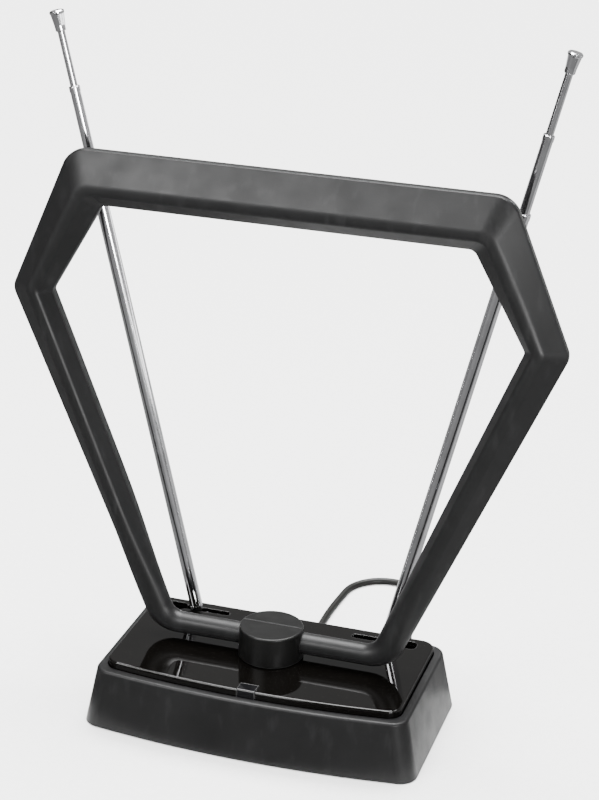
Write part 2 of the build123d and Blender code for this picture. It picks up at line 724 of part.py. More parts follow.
def racetrack(radius):
    x, y = HANK_CENTRE
    return Pos(x, y, 0) * SlotCenterToCenter(2 * HANK_HALF_RUN, 2 * radius)


def cord_hank():
    """The outer shape of the put-away turns: two side by side and three high."""
    ring = racetrack(HANK_OUTER_RADIUS) - racetrack(HANK_INNER_RADIUS)
    return Pos(0, 0, HANK_BOTTOM) * extrude(ring, HANK_TOP - HANK_BOTTOM)


def cord_tie():
    x0, x1 = TIE_X
    near_y = HANK_CENTRE[1] + HANK_INNER_RADIUS
    far_y = HANK_CENTRE[1] + HANK_OUTER_RADIUS
    band = box(x0, x1, near_y - TIE_THICKNESS, far_y + TIE_THICKNESS,
               HANK_BOTTOM - TIE_THICKNESS, HANK_TOP + TIE_THICKNESS)
    return band - box(x0 - 1, x1 + 1, near_y, far_y, HANK_BOTTOM, HANK_TOP)


def connector_pieces():
    """A screw-on F plug: boot, sleeve, insulator, centre pin and a nut that spins freely."""
    end_x, y, z = TAIL_ROUTE[-1]
    boot_x = end_x - BOOT_LENGTH
    boot = along_x(boot_x, boot_x + 10, y, z, 4.4)
    boot += Pos(boot_x + 12.5, y, z) * Rot(0, 90, 0) * Cone(4.4, 2.7, 5)
    sleeve = along_x(boot_x - 2.7, boot_x, y, z, 3.2) + along_x(boot_x - 3.7, boot_x - 2.7, y, z, 4.3)
    sleeve -= along_x(boot_x - 5, boot_x + 1, y, z, 2.4)
    insulator = along_x(boot_x - 5.5, boot_x, y, z, 2.38) - along_x(boot_x - 6, boot_x + 1, y, z, 0.52)
    pin = along_x(boot_x - NUT_LENGTH - 0.1, boot_x, y, z, 0.5)
    nut_back = boot_x - 0.6
    nut_front = nut_back - NUT_LENGTH
    hexagon_face = RegularPolygon(NUT_ACROSS_FLATS / 2, 6, major_radius=False)
    nut = Pos(nut_front, y, z) * Rot(0, 90, 0) * extrude(hexagon_face, NUT_LENGTH)
    nut -= along_x(nut_back - 3, nut_back + 1, y, z, 3.35)
    nut -= along_x(nut_front - 1, nut_back - 1.7, y, z, 4.6)
    return {
        "connector_boot": boot,
        "connector_sleeve": sleeve,
        "connector_insulator": insulator,
        "connector_pin": pin,
        "connector_nut": nut,
    }


# ---- write every node --------------------------------------------------------------------


def save_base():
    save("base_housing", base_housing())
    save("top_plate", top_plate())
    save("front_insert", front_insert())
    save("bottom_cover", bottom_cover())
    save("rubber_feet", *rubber_feet())
    cover_screws = [screw(x, y, COVER_BOTTOM + 1.4, 14, shaft=1.2, head=2.6, head_height=1.3)
                    for x, y in COVER_SCREWS]
    save("cover_screws", *cover_screws)
    save("ballast_weight", ballast_weight())
    save("circuit_board", circuit_board())
    save("board_screws", *board_screws())
    save("balun_core", balun_core())
    save("balun_windings", *balun_windings())
    save("filter_parts", *board_parts())
    save("loop_leads", *loop_leads())
    save("inner_coax", inner_coax())
    front, rear = hub_halves()
    save("hub_front_half", front)
    save("hub_rear_half", rear)
    save("hub_friction_pads", *hub_friction_pads())
    underside = PLATE_TOP - PLATE_THICKNESS
    save("hub_screws", *[screw(x, y, underside, 12, shaft=1.2, head=2.4) for x, y in HUB_SCREWS])
    bracket_screws = [screw(x, BRACKET_SCREW_Y, BRACKET_BOTTOM, 9, shaft=1.1, head=2.3, head_height=1.4)
                      for side in (-1, 1) for x in bracket_screw_x(side)]
    save("bracket_screws", *bracket_screws)


def save_loop():
    front, rear = loop_shells()
    save("loop_front_shell", front)
    save("loop_rear_shell", rear)
    save("loop_conductor", loop_conductor())
    save("loop_screws", *loop_screws())


def save_rod(name, side, shown):
    save(name + "_rod_bracket", rod_bracket(side))
    save(name + "_pivot_pin", pivot_pin(side))
    save(name + "_rod_lead", rod_lead(side))
    save(name + "_rod_knuckle", on_rod(side, rod_knuckle()))
    save(name + "_outer_tube", on_rod(side, outer_tube()))
    save(name + "_middle_tube", on_rod(side, middle_tube()))
    save(name + "_middle_guide", on_rod(side, middle_guide()))
    save(name + "_inner_rod", on_rod(side, inner_rod(shown)))
    save(name + "_inner_guide", on_rod(side, inner_guide(shown)))
    save(name + "_tip_cap", on_rod(side, tip_cap(shown)))


def save_cord():
    save("strain_relief", strain_relief())
    for name, route in (("cord_tube", CORD_ROUTE), ("cord_tail", TAIL_ROUTE)):
        tube, length, bends = tube_along(route, CORD_RADIUS)
        expected = math.pi * CORD_RADIUS**2 * length
        print(name, "length %.1f, volume %.1f of %.1f," % (length, tube.volume, expected),
              "bend radii", [round(bend, 1) for bend in bends])
        save(name, tube)
    save("cord_hank", cord_hank())
    save("cord_tie", cord_tie())
    for name, piece in connector_pieces().items():
        save(name, piece)


def main():
    save_base()
    save_loop()
    save_rod("left", -1, LEFT_INNER_SHOWN)
    save_rod("right", 1, RIGHT_INNER_SHOWN)
    save_cord()


if __name__ == "__main__":
    main()
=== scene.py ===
import json
import math

import bmesh
import bpy
from mathutils import Matrix, Vector


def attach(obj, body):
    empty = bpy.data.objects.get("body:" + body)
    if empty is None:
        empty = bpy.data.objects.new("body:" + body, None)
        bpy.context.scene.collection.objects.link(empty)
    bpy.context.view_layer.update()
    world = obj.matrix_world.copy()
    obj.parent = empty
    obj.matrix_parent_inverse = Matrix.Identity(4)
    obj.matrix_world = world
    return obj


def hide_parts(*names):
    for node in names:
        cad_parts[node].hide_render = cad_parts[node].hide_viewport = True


# Looks for the rabbit ears antenna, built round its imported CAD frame.
# Metres, in the CAD's own frame: X left to right, Y front to back, Z up.

MM = 0.001

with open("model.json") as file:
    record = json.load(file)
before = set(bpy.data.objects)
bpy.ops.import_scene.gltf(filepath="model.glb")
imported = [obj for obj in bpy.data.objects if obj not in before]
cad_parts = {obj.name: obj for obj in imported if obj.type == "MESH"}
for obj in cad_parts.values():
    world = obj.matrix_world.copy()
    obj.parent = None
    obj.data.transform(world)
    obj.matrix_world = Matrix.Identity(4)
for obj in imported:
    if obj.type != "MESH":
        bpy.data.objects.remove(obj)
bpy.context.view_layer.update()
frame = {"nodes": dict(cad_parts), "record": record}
nodes = frame["nodes"]


# ---- camera ------------------------------------------------------------------------------

CAMERA_PLACE = (0.29975, -0.95628, 0.59158)
CAMERA_YAW = math.radians(16.75)
CAMERA_PITCH = math.radians(22.05)
CAMERA_ROLL = math.radians(1.68)
CAMERA_LENS = 94.69
SENSOR_HEIGHT = 36.0


def make_camera():
    data = bpy.data.cameras.new("camera")
    data.sensor_fit = "VERTICAL"
    data.sensor_height = SENSOR_HEIGHT
    data.lens = CAMERA_LENS
    camera = bpy.data.objects.new("camera", data)
    yaw, pitch, roll = CAMERA_YAW, CAMERA_PITCH, CAMERA_ROLL
    forward = Vector((-math.sin(yaw) * math.cos(pitch), math.cos(yaw) * math.cos(pitch), -math.sin(pitch)))
    level_right = Vector((math.cos(yaw), math.sin(yaw), 0))
    level_up = level_right.cross(forward)
    right = math.cos(roll) * level_right + math.sin(roll) * level_up
    up = -math.sin(roll) * level_right + math.cos(roll) * level_up
    turn = Matrix((right, up, -forward)).transposed().to_4x4()
    camera.matrix_world = Matrix.Translation(CAMERA_PLACE) @ turn
    bpy.context.scene.collection.objects.link(camera)
    bpy.context.scene.camera = camera


# ---- procedural materials ----------------------------------------------------------------

# the colour mix node's sockets, which share their names with its other kinds of input
MIX_AMOUNT, MIX_BASE, MIX_OTHER, MIX_RESULT = 0, 6, 7, 2
BEVEL_SAMPLES = 6
METAL_EDGE = 0.15 * MM
METAL_RELIEF = 0.0015 * MM
TARNISH = 0.7
GLOSS_SPECULAR = 0.3
DUST_COLOUR = (0.05, 0.048, 0.045)


def new_material(name, colour, roughness, metallic=0.0):
    """A material with its tree and shader; uniform values sit on the shader's own sockets."""
    material = bpy.data.materials.new(name)
    material.use_nodes = True
    tree = material.node_tree
    shader = tree.nodes["Principled BSDF"]
    shader.inputs["Base Color"].default_value = (*colour, 1.0)
    shader.inputs["Roughness"].default_value = roughness
    shader.inputs["Metallic"].default_value = metallic
    return material, tree, shader


def place(tree, stretch=(1, 1, 1)):
    """Where a point is on its piece, in metres, stretched along the axes."""
    coordinates = tree.nodes.new("ShaderNodeTexCoord")
    mapping = tree.nodes.new("ShaderNodeMapping")
    mapping.inputs["Scale"].default_value = stretch
    tree.links.new(coordinates.outputs["Object"], mapping.inputs["Vector"])
    return mapping.outputs["Vector"]


def noise(tree, size, detail=3.0, stretch=(1, 1, 1)):
    node = tree.nodes.new("ShaderNodeTexNoise")
    node.inputs["Scale"].default_value = 1.0 / size
    node.inputs["Detail"].default_value = detail
    tree.links.new(place(tree, stretch), node.inputs["Vector"])
    return node.outputs["Fac"]


def remap(tree, value, source, target):
    node = tree.nodes.new("ShaderNodeMapRange")
    node.inputs["From Min"].default_value, node.inputs["From Max"].default_value = source
    node.inputs["To Min"].default_value, node.inputs["To Max"].default_value = target
    tree.links.new(value, node.inputs["Value"])
    return node.outputs["Result"]


def tint(tree, amount, base, other):
    """The base colour turning into another by an amount."""
    node = tree.nodes.new("ShaderNodeMix")
    node.data_type = "RGBA"
    tree.links.new(amount, node.inputs[MIX_AMOUNT])
    node.inputs[MIX_OTHER].default_value = (*other, 1.0)
    if isinstance(base, bpy.types.NodeSocket):
        tree.links.new(base, node.inputs[MIX_BASE])
    else:
        node.inputs[MIX_BASE].default_value = (*base, 1.0)
    return node.outputs[MIX_RESULT]


def times(tree, first, second):
    node = tree.nodes.new("ShaderNodeMath")
    node.operation = "MULTIPLY"
    tree.links.new(first, node.inputs[0])
    tree.links.new(second, node.inputs[1])
    return node.outputs[0]


def edges(tree, radius):
    """1 along edges, 0 on open faces, and the normal rounded over the same width; materials pale their edges
    along it, for wear and as a painted highlight.
    """
    bevel = tree.nodes.new("ShaderNodeBevel")
    bevel.samples = BEVEL_SAMPLES
    bevel.inputs["Radius"].default_value = radius
    surface = tree.nodes.new("ShaderNodeNewGeometry")
    likeness = tree.nodes.new("ShaderNodeVectorMath")
    likeness.operation = "DOT_PRODUCT"
    tree.links.new(bevel.outputs["Normal"], likeness.inputs[0])
    tree.links.new(surface.outputs["Normal"], likeness.inputs[1])
    return remap(tree, likeness.outputs["Value"], (0.995, 0.9), (0, 1)), bevel.outputs["Normal"]


def bump(tree, height, depth, under=None):
    """A normal with the height's relief, depth in metres, on top of another normal."""
    node = tree.nodes.new("ShaderNodeBump")
    node.inputs["Strength"].default_value = 1.0
    node.inputs["Distance"].default_value = depth
    tree.links.new(height, node.inputs["Height"])
    if under is not None:
        tree.links.new(under, node.inputs["Normal"])
    return node.outputs["Normal"]


def moulded(name, colour, roughness, grain=0.35 * MM, depth=0.02 * MM, edge=0.3 * MM, highlight_and_wear_lift=0.004, sheen=0.5):
    """Moulded plastic or rubber: a fine spark-eroded texture, slight blotches, edges rubbed paler for wear,
    with a painted highlight added where the lift is raised.
    """
    material, tree, shader = new_material(name, colour, roughness)
    shader.inputs["Specular IOR Level"].default_value = sheen
    edge_band, rounded = edges(tree, edge)
    blotch = remap(tree, noise(tree, 26 * MM, 4), (0.3, 0.7), (0, 1))
    scuffs = remap(tree, noise(tree, 5 * MM, 6, (1, 1, 0.25)), (0.56, 0.74), (0, 0.5))
    darker = tuple(c * 0.8 for c in colour)
    paler = tuple(min(1.0, c * 1.8 + highlight_and_wear_lift) for c in colour)
    mottled = tint(tree, blotch, darker, colour)
    scuffed = tint(tree, scuffs, mottled, tuple(c * 2.2 for c in colour))
    edge_wear_and_highlight = times(tree, edge_band, remap(tree, noise(tree, 3 * MM, 3), (0.3, 0.75), (0.25, 1)))
    # edges paler: rubbed wear, and with a raised lift a painted edge highlight
    tree.links.new(tint(tree, edge_wear_and_highlight, scuffed, paler), shader.inputs["Base Color"])
    rough = remap(tree, noise(tree, 14 * MM, 5), (0.3, 0.7), (roughness - 0.05, roughness + 0.06))
    tree.links.new(rough, shader.inputs["Roughness"])
    fine = bump(tree, noise(tree, grain, 2.5), depth, rounded)
    tree.links.new(bump(tree, noise(tree, 6 * MM, 2), 0.02 * MM, fine), shader.inputs["Normal"])
    return material


def glossy(name, colour, roughness=0.04, edge=0.4 * MM, highlight_and_wear_lift=0.01):
    """Polished plastic: faint flow marks, fine hairline scratches, a little dust, and edges painted paler,
    partly wear and partly a painted highlight line.
    """
    material, tree, shader = new_material(name, colour, roughness)
    shader.inputs["Specular IOR Level"].default_value = GLOSS_SPECULAR
    edge_band, rounded = edges(tree, edge)
    dust = remap(tree, noise(tree, 0.9 * MM, 2), (0.69, 0.8), (0, 0.35))
    flow = remap(tree, noise(tree, 30 * MM, 3, (1, 2.5, 1)), (0.35, 0.65), (0, 1))
    base = tint(tree, flow, tuple(c * 0.85 for c in colour), colour)
    dusty = tint(tree, dust, base, DUST_COLOUR)
    paler = tuple(c * 2 + highlight_and_wear_lift for c in colour)
    # edges paler: partly rubbed wear, partly a painted highlight line whose strength the lift sets
    tree.links.new(tint(tree, edge_band, dusty, paler), shader.inputs["Base Color"])
    hairlines = noise(tree, 0.5 * MM, 2, (0.04, 1, 1))
    across = noise(tree, 0.6 * MM, 2, (1, 0.05, 1))
    fine_lines = remap(tree, hairlines, (0.6, 0.8), (0, 1))
    scratch = times(tree, fine_lines, remap(tree, across, (0.4, 0.7), (0.2, 1)))
    tree.links.new(remap(tree, scratch, (0, 1), (roughness, roughness + 0.12)), shader.inputs["Roughness"])
    wavy = bump(tree, noise(tree, 22 * MM, 1.5), 0.03 * MM, rounded)
    tree.links.new(bump(tree, scratch, 0.002 * MM, wavy), shader.inputs["Normal"])
    return material


def metal(name, colour, roughness, along=(1, 1, 0.03), lines=0.25 * MM):
    """Drawn, turned or plated metal: fine lines along the work, a few specks and duller patches."""
    material, tree, shader = new_material(name, colour, roughness, 1.0)
    edge_band, rounded = edges(tree, METAL_EDGE)
    patches = remap(tree, noise(tree, 9 * MM, 5), (0.42, 0.72), (0, 0.6))
    specks = remap(tree, noise(tree, 0.7 * MM, 2), (0.7, 0.78), (0, 0.7))
    tarnished = tint(tree, patches, colour, tuple(c * TARNISH for c in colour))
    pitted = tint(tree, specks, tarnished, tuple(c * 0.25 for c in colour))
    paler = tuple(min(1, c * 1.12) for c in colour)
    tree.links.new(tint(tree, edge_band, pitted, paler), shader.inputs["Base Color"])
    drawn = noise(tree, lines, 3, along)
    rough = remap(tree, drawn, (0.3, 0.7), (roughness * 0.75, roughness * 1.4))
    tree.links.new(rough, shader.inputs["Roughness"])
    tree.links.new(bump(tree, drawn, METAL_RELIEF, rounded), shader.inputs["Normal"])
    return material


def cast(name, colour, roughness, grain=1.2 * MM, depth=0.12 * MM, metallic=0.6):
    """Cast or sintered stock: a sandy skin with darker pores."""
    material, tree, shader = new_material(name, colour, roughness, metallic)
    skin = noise(tree, grain, 6)
    pores = remap(tree, skin, (0.35, 0.5), (1, 0))
    tree.links.new(tint(tree, pores, colour, tuple(c * 0.4 for c in colour)), shader.inputs["Base Color"])
    tree.links.new(bump(tree, skin, depth), shader.inputs["Normal"])
    return material


def laminate(name, colour, roughness):
    """Circuit board: green resist over woven glass, with faint copper areas under it."""
    material, tree, shader = new_material(name, colour, roughness)
    warp = noise(tree, 0.6 * MM, 1, (1, 0.1, 1))
    weft = noise(tree, 0.6 * MM, 1, (0.1, 1, 1))
    weave = times(tree, warp, weft)
    copper = remap(tree, noise(tree, 7 * MM, 0), (0.49, 0.51), (0, 1))
    tree.links.new(tint(tree, copper, colour, tuple(c * 1.7 for c in colour)), shader.inputs["Base Color"])
    tree.links.new(bump(tree, weave, 0.02 * MM), shader.inputs["Normal"])
    return material


MATERIALS = {
    "base_matt_plastic": moulded("base_matt_plastic", (0.006, 0.006, 0.0062), 0.42, sheen=0.2),
    # plate and insert: the raised lift paints a bright highlight line along their edges
    "plate_gloss_plastic": glossy("plate_gloss_plastic", (0.0016, 0.0014, 0.0012), edge=0.6 * MM, highlight_and_wear_lift=0.03),
    "insert_plastic": glossy("insert_plastic", (0.004, 0.004, 0.0045), 0.08, 0.3 * MM, 0.12),
    "loop_matt_plastic": moulded(
        "loop_matt_plastic", (0.006, 0.006, 0.0062), 0.40, edge=0.6 * MM, sheen=0.25),
    # the hub's raised lift paints a bright highlight along its rim
    "hub_matt_plastic": moulded(
        "hub_matt_plastic", (0.004, 0.004, 0.0039), 0.32, edge=1.0 * MM, highlight_and_wear_lift=0.02, sheen=0.2),
    "foot_rubber": moulded("foot_rubber", (0.05, 0.05, 0.05), 0.75, 0.5 * MM, 0.04 * MM, sheen=0.3),
    "screw_steel": metal("screw_steel", (0.55, 0.55, 0.56), 0.3, (1, 1, 1), 0.4 * MM),
    "ballast_iron": cast("ballast_iron", (0.25, 0.24, 0.23), 0.6),
    "board_laminate": laminate("board_laminate", (0.03, 0.16, 0.06), 0.3),
    "ferrite": cast("ferrite", (0.05, 0.05, 0.055), 0.5, 0.5 * MM, 0.03 * MM, 0.1),
    "filter_parts_finish": moulded("filter_parts_finish", (0.5, 0.27, 0.08), 0.3, 1.5 * MM, 0.05 * MM),
    "copper_wire": metal("copper_wire", (0.72, 0.36, 0.18), 0.25, (1, 1, 1)),
    "wire_insulation": moulded("wire_insulation", (0.5, 0.05, 0.04), 0.4),
    "bracket_steel": metal("bracket_steel", (0.6, 0.6, 0.6), 0.32, (0.05, 1, 1)),
    "rod_chrome": metal("rod_chrome", (0.80, 0.80, 0.82), 0.09),
    "guide_brass": metal("guide_brass", (0.75, 0.55, 0.26), 0.25, (1, 1, 1)),
    "conductor_aluminium": metal("conductor_aluminium", (0.75, 0.75, 0.76), 0.35, (1, 1, 1)),
    "cord_jacket": moulded("cord_jacket", (0.007, 0.0068, 0.0063), 0.42, 0.3 * MM, 0.012 * MM, sheen=0.2),
    "tie_plastic": moulded("tie_plastic", (0.03, 0.03, 0.03), 0.5, 0.25 * MM),
    "connector_nickel": metal("connector_nickel", (0.72, 0.68, 0.62), 0.16, (0.05, 1, 1)),
    "insulator_plastic": moulded("insulator_plastic", (0.75, 0.74, 0.70), 0.4),
    "friction_pad": moulded("friction_pad", (0.08, 0.08, 0.08), 0.8, 0.5 * MM, 0.05 * MM),
}


def dress_cad_nodes():
    """Each carried-over CAD node takes the material that the record's slot names."""
    slots = {part["node"]: part["material_slot"] for part in frame["record"]["subparts"]}
    for name, node in nodes.items():
        material = MATERIALS[slots[name]]
        if not node.data.materials:
            node.data.materials.append(material)
        for index in range(len(node.data.materials)):
            node.data.materials[index] = material


# ---- the cord ----------------------------------------------------------------------------

CORD_DIAMETER = 4 * MM
CORD_ROUNDNESS = 5
CORD_STEPS = 10
CORD_EXIT = (0.0, 66.0, 9.0)
CORD_ROUTE = [
    CORD_EXIT,
    (0.0, 79.0, 9.0),
    (-2.0, 100.0, 2.2),
    (-2.6, 121.0, 2.0),
    (-1.4, 141.0, 2.0),
    (0.4, 160.5, 2.0),
    (15.0, 173.8, 2.0),
    (35.0, 173.2, 2.0),
    (48.4, 158.6, 2.0),
    (46.6, 138.5, 2.0),
    (43.4, 119.0, 2.2),
    (43.6, 102.0, 2.6),
    (47.5, 89.3, 2.6),
]
HANK_CENTRE = (44.0, 71.5)
HANK_HALF_RUN = 16.0
OUT, IN = 16.0, 12.0
LOW, MIDDLE, HIGH = 2.6, 6.6, 10.6
# each half turn: the end it goes round, its radius, and its height going in and coming out
HALF_TURNS = [
    ("right", OUT, LOW, LOW),
    ("left", OUT, LOW, LOW),
    ("right", IN, LOW, LOW),
    ("left", IN, LOW, MIDDLE),
    ("right", IN, MIDDLE, MIDDLE),
    ("left", OUT, MIDDLE, MIDDLE),
    ("right", OUT, MIDDLE, HIGH),
    ("left", OUT, HIGH, HIGH),
    ("right", IN, HIGH, HIGH),
]
HALF_TURN_POINTS = 6
TAIL_ROUTE = [(52.5, 58.9, 11.4), (43.5, 57.7, 18.9), (35.0, 57.5, 19.3)]


def hank_points():
    """The put-away turns, wound clockwise from the far run.

    Each change of column or layer is made on its own side.
    """
    points = []
    step = math.pi / HALF_TURN_POINTS
    for end, radius, z_in, z_out in HALF_TURNS:
        side = 1 if end == "right" else -1
        reach = radius / math.cos(step / 2)
        for i in range(HALF_TURN_POINTS):
            angle = side * math.pi / 2 - (i + 0.5) * step
            share = (i + 0.5) / HALF_TURN_POINTS
            x = HANK_CENTRE[0] + side * HANK_HALF_RUN + reach * math.cos(angle)
            y = HANK_CENTRE[1] + reach * math.sin(angle)
            points.append((x, y, z_in + (z_out - z_in) * share))
    return points


def make_cord():
    points = CORD_ROUTE + hank_points() + TAIL_ROUTE
    data = bpy.data.curves.new("lead", "CURVE")
    data.dimensions = "3D"
    data.resolution_u = CORD_STEPS
    data.bevel_depth = CORD_DIAMETER / 2
    data.bevel_resolution = CORD_ROUNDNESS
    data.use_fill_caps = True
    spline = data.splines.new("NURBS")
    spline.points.add(len(points) - 1)
    for point, route_point in zip(spline.points, points):
        point.co = (*(c * MM for c in route_point), 1)
    spline.order_u = 3
    spline.use_endpoint_u = True
    spline.use_smooth = True
    cord = bpy.data.objects.new("lead", data)
    bpy.context.scene.collection.objects.link(cord)
    data.materials.append(MATERIALS["cord_jacket"])
    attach(cord, "base")
    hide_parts("cord_tube", "cord_hank", "cord_tail")


# ---- the loop ----------------------------------------------------------------------------
# Its section is a wedge with a rounded nose, and turns into a round bar at the bottom.
# Each rail is the right-hand half of a six-sided line: (x, z) of its bottom, middle and top corners.

OUTER_RAIL = ([(67.7, 40.3), (148.4, 227.3), (115.2, 305.8)], [19.0, 9.0, 14.0])
NOSE_RAIL = ([(61.0, 46.15), (133.9, 230.0), (106.2, 286.9)], [14.0, 6.0, 9.0])
INNER_RAIL = ([(56.3, 52.0), (125.9, 227.7), (97.5, 277.2)], [8.0, 3.0, 5.0])
SEAM_Y = 3.0
NOSE_Y = -6.0
BACK_Y = 10.0
NOSE_HALF_WIDTH = 2.4
BAR_Y = 2.0
BAR_Z = 46.15
BAR_RADIUS = 5.85
FULL_DEPTH_Z = 110.0
ROUND_BELOW_Z = 52.0
WEDGE_ABOVE_Z = 128.0
SEAM_GAP = 0.2
STRAIGHT_STEPS = [8, 16, 10, 14]
CORNER_STEPS = 10
SCREW_PLACES = [(-80, 286.9), (80, 286.9), (-131.5, 226.5), (131.5, 226.5), (-90.5, 120), (90.5, 120)]
SCREW_RECESS_RADIUS = 2.5
SCREW_RECESS_DEPTH = 1.8
SCREW_RECESS_SIDES = 40
SHARP_ANGLE = math.radians(35)
FLAT_FACE_WEIGHT = 80


def smooth_share(value, low, high):
    share = min(1.0, max(0.0, (value - low) / (high - low)))
    return share * share * (3 - 2 * share)


def arc_points(before, corner, after, radius, steps):
    """Points round a corner's fillet, tangent point to tangent point, its radius held to the room there is."""
    to_before = (before - corner).normalized()
    to_after = (after - corner).normalized()
    half_angle = to_before.angle(to_after) / 2
    room = 0.49 * min((before - corner).length, (after - corner).length)
    radius = min(radius, room * math.tan(half_angle))
    middle = (to_before + to_after).normalized()
    centre = corner + middle * radius / math.sin(half_angle)
    first = corner + to_before * radius / math.tan(half_angle) - centre
    last = corner + to_after * radius / math.tan(half_angle) - centre
    swing = math.pi - 2 * half_angle
    points = []
    for i in range(steps + 1):
        share = i / steps
        mixed = (first * math.sin((1 - share) * swing) + last * math.sin(share * swing)) / math.sin(swing)
        points.append(centre + mixed)
    return points


def rail_points(rail):
    """The rail from the bar's middle to the top's middle, sampled alike on every rail."""
    corners, radii = rail
    corners = [Vector(c) for c in corners]
    ends = [Vector((0, corners[0].y)), *corners, Vector((0, corners[-1].y))]
    arcs = [arc_points(*ends[i:i + 3], radii[i], CORNER_STEPS) for i in range(3)]
    points = []
    start = ends[0]
    for steps, arc in zip(STRAIGHT_STEPS, arcs):
        points += [start.lerp(arc[0], i / steps) for i in range(steps)]
        points += arc[:-1]
        start = arc[-1]
    steps = STRAIGHT_STEPS[-1]
    return points + [start.lerp(ends[-1], i / steps) for i in range(steps + 1)]


def wedge_section(reach_out, reach_in, front_y, back_y):
    """The section as (across, y) points: the front shell's, then the rear shell's, seam to seam."""
    corners = [
        (Vector((reach_out, SEAM_Y)), 1.3, 4),
        (Vector((NOSE_HALF_WIDTH, front_y)), 8.0, 6),
        (Vector((-NOSE_HALF_WIDTH, front_y)), 4.4, 6),
        (Vector((-reach_in, SEAM_Y)), 0.9, 4),
        (Vector((-reach_in, back_y)), 2.8, 5),
        (Vector((reach_out, back_y)), 4.5, 5),
    ]
    count = len(corners)
    rounds = []
    for i, (corner, radius, steps) in enumerate(corners):
        rounds.append(arc_points(corners[i - 1][0], corner, corners[(i + 1) % count][0], radius, steps))
    outline = []
    for i, arc in enumerate(rounds):
        following = rounds[(i + 1) % count][0]
        between = [arc[-1].lerp(following, k / 5) for k in range(1, 5)]
        outline.append(arc + between)
    seam_out, seam_in = 2, 2
    front = outline[0][seam_out:] + outline[1] + outline[2] + outline[3][:seam_in + 1]
    rear = outline[3][seam_in:] + outline[4] + outline[5] + outline[0][:seam_out + 1]
    return front, rear


def rounded(points, share, reach_out, reach_in, front_y, back_y):
    """The section's points moved towards an ellipse of the same width and depth."""
    middle = Vector(((reach_out - reach_in) / 2, (front_y + back_y) / 2))
    half = Vector(((reach_out + reach_in) / 2, (back_y - front_y) / 2))
    moved = []
    for p in points:
        angle = math.atan2((p.y - middle.y) / half.y, (p.x - middle.x) / half.x)
        on_ellipse = middle + Vector((half.x * math.cos(angle), half.y * math.sin(angle)))
        moved.append(p.lerp(on_ellipse, share))
    return moved


def section_at(outer, nose, inner):
    """Both shells' rings of points, in metres, where the three rails are at one station."""
    outward, inward = outer - nose, inner - nose
    reach_out, reach_in = outward.length, inward.length
    depth = smooth_share(nose.y, BAR_Z, FULL_DEPTH_Z)
    front_y = (BAR_Y - BAR_RADIUS) * (1 - depth) + NOSE_Y * depth
    back_y = (BAR_Y + BAR_RADIUS) * (1 - depth) + BACK_Y * depth
    roundness = 1 - smooth_share(nose.y, ROUND_BELOW_Z, WEDGE_ABOVE_Z)
    rings = []
    for shell, gap in zip(wedge_section(reach_out, reach_in, front_y, back_y), (-SEAM_GAP / 2, SEAM_GAP / 2)):
        ring = []
        for p in rounded(shell, roundness, reach_out, reach_in, front_y, back_y):
            rail = outward if p.x > 0 else inward
            flat = nose + rail.normalized() * abs(p.x)
            ring.append(Vector((flat.x, p.y, flat.y)))
        ring[0].y += gap
        ring[-1].y += gap
        rings.append([p * MM for p in ring])
    return rings


def closed_sweep(name, rings):
    """A mesh that joins closed rings of points into one closed band."""
    mesh = bmesh.new()
    grid = [[mesh.verts.new(p) for p in ring] for ring in rings]
    count = len(rings[0])
    for row, following in zip(grid, grid[1:] + grid[:1]):
        for j in range(count):
            k = (j + 1) % count
            mesh.faces.new((row[j], row[k], following[k], following[j]))
    bmesh.ops.recalc_face_normals(mesh, faces=mesh.faces)
    data = bpy.data.meshes.new(name)
    mesh.to_mesh(data)
    mesh.free()
    obj = bpy.data.objects.new(name, data)
    bpy.context.scene.collection.objects.link(obj)
    return obj


def cylinder(name, centre, radius, depth):
    """A closed cylinder along Y, used to cut a recess."""
    mesh = bmesh.new()
    bmesh.ops.create_cone(mesh, cap_ends=True, segments=SCREW_RECESS_SIDES,
                          radius1=radius, radius2=radius, depth=depth)
    bmesh.ops.rotate(mesh, verts=mesh.verts, matrix=Matrix.Rotation(math.pi / 2, 3, "X"))
    bmesh.ops.translate(mesh, verts=mesh.verts, vec=centre)
    data = bpy.data.meshes.new(name)
    mesh.to_mesh(data)
    mesh.free()
    obj = bpy.data.objects.new(name, data)
    bpy.context.scene.collection.objects.link(obj)
    return obj


def apply_modifiers(obj):
    evaluated = obj.evaluated_get(bpy.context.evaluated_depsgraph_get())
    data = bpy.data.meshes.new_from_object(evaluated)
    obj.modifiers.clear()
    obj.data = data


def cut(obj, cutter):
    modifier = obj.modifiers.new("cut", "BOOLEAN")
    modifier.operation = "DIFFERENCE"
    modifier.solver = "EXACT"
    modifier.object = cutter
    apply_modifiers(obj)
    bpy.data.objects.remove(cutter)


def smooth(obj):
    obj.data.shade_smooth()
    obj.data.set_sharp_from_angle(angle=SHARP_ANGLE)
    weighted = obj.modifiers.new("flat faces stay flat", "WEIGHTED_NORMAL")
    weighted.keep_sharp = True
    weighted.weight = FLAT_FACE_WEIGHT


def make_loop():
    rails = [rail_points(rail) for rail in (OUTER_RAIL, NOSE_RAIL, INNER_RAIL)]
    half = [section_at(*station) for station in zip(*rails)]
    flip = Vector((-1, 1, 1))
    shells = []
    for shell in range(2):
        right = [rings[shell] for rings in half]
        left = [[p * flip for p in ring] for ring in right[-2:0:-1]]
        shells.append(closed_sweep(("loop_front", "loop_rear")[shell], right + left))
    front, rear = shells
    for x, z in SCREW_PLACES:
        depth = SCREW_RECESS_DEPTH + 1
        centre = Vector((x, BACK_Y - SCREW_RECESS_DEPTH + depth / 2, z)) * MM
        cut(rear, cylinder("recess", centre, SCREW_RECESS_RADIUS * MM, depth * MM))
    for obj, node in ((front, "loop_front_shell"), (rear, "loop_rear_shell")):
        smooth(obj)
        obj.data.materials.append(MATERIALS["loop_matt_plastic"])
        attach(obj, "loop")
        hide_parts(node)


